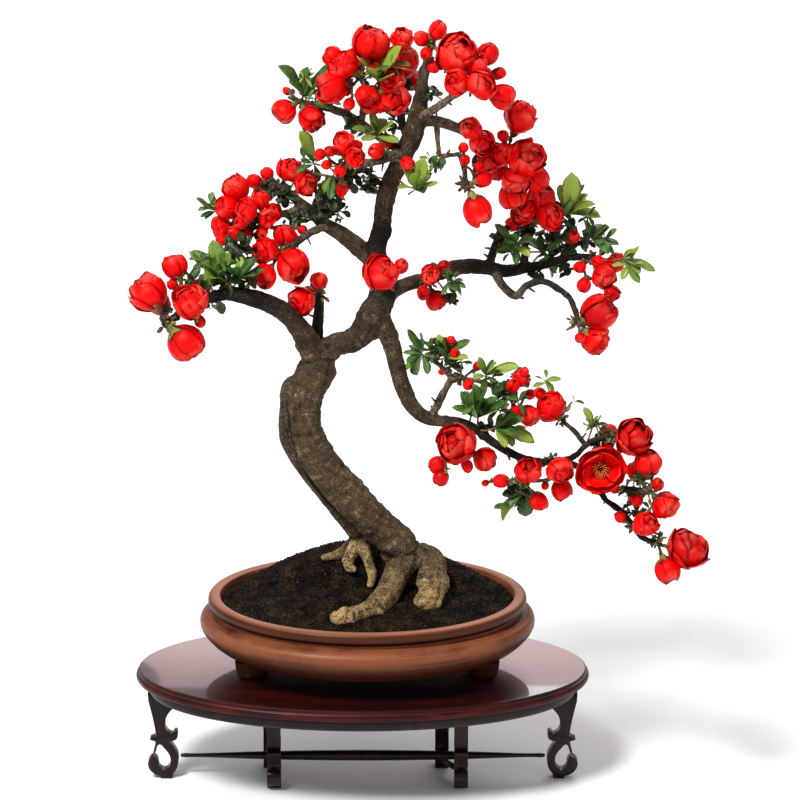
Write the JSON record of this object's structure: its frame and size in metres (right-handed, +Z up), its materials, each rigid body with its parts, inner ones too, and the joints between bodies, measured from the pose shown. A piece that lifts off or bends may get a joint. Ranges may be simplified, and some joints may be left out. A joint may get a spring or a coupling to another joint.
{
  "type": "flowering quince bonsai",
  "caption": "Flowering quince bonsai with a leaning trunk, red blooms and buds, green leaves and a cascading branch, in an oval clay pot on a low lacquered wooden stand.",
  "frame": {"origin": "centre of the whole object's footprint, on the floor under the stand", "axes": "+Z up, +X to the right as the tree is seen from its front, towards the cascading branch, +Y away from the front"},
  "size_m": [0.5618, 0.2654, 0.7896],
  "materials": {
    "bark": "rough grey-brown bark",
    "petal": "soft satin petals",
    "leaf": "satin leaves",
    "soil": "rough granular soil",
    "clay": "unglazed clay with a soft sheen",
    "lacquer": "glossy dark red lacquer"
  },
  "bodies": {
    "root": {"bunch_cascade_buds": "petal", "bunch_cascade_end": "petal", "bunch_cascade_face": "petal", "bunch_cascade_inner": "petal", "bunch_cascade_low": "petal", "bunch_cascade_outer": "petal", "bunch_cascade_tip": "petal", "bunch_cascade_top": "petal", "bunch_cascade_under": "petal", "bunch_inner_left": "petal", "bunch_inner_top": "petal", "bunch_left_end": "petal", "bunch_left_far": "petal", "bunch_left_middle": "petal", "bunch_left_riser": "petal", "bunch_left_tip": "petal", "bunch_left_upper": "petal", "bunch_middle": "petal", "bunch_middle_right": "petal", "bunch_peak": "petal", "bunch_right_end": "petal", "bunch_right_hanging": "petal", "bunch_right_inner": "petal", "bunch_right_low": "petal", "bunch_right_small": "petal", "bunch_right_top": "petal", "bunch_top": "petal", "bunch_top_left": "petal", "bunch_top_right": "petal", "leg_back_left": "lacquer", "leg_back_right": "lacquer", "leg_front_left": "lacquer", "leg_front_right": "lacquer", "leg_left": "lacquer", "leg_right": "lacquer", "pot": "clay", "rail_cross_left": "lacquer", "rail_cross_right": "lacquer", "rail_long": "lacquer", "soil": "soil", "spray_cascade_big": "leaf", "spray_cascade_left": "leaf", "spray_cascade_low": "leaf", "spray_cascade_middle": "leaf", "spray_cascade_outer": "leaf", "spray_inner_left": "leaf", "spray_inner_top": "leaf", "spray_leader": "leaf", "spray_left_limb": "leaf", "spray_left_tip": "leaf", "spray_left_upper": "leaf", "spray_middle": "leaf", "spray_right": "leaf", "spray_right_inner": "leaf", "spray_right_outer": "leaf", "spray_right_tip": "leaf", "spray_top": "leaf", "stand_board": "lacquer", "stand_under": "lacquer", "tree_wood": "bark"}
  },
  "joints": []
}
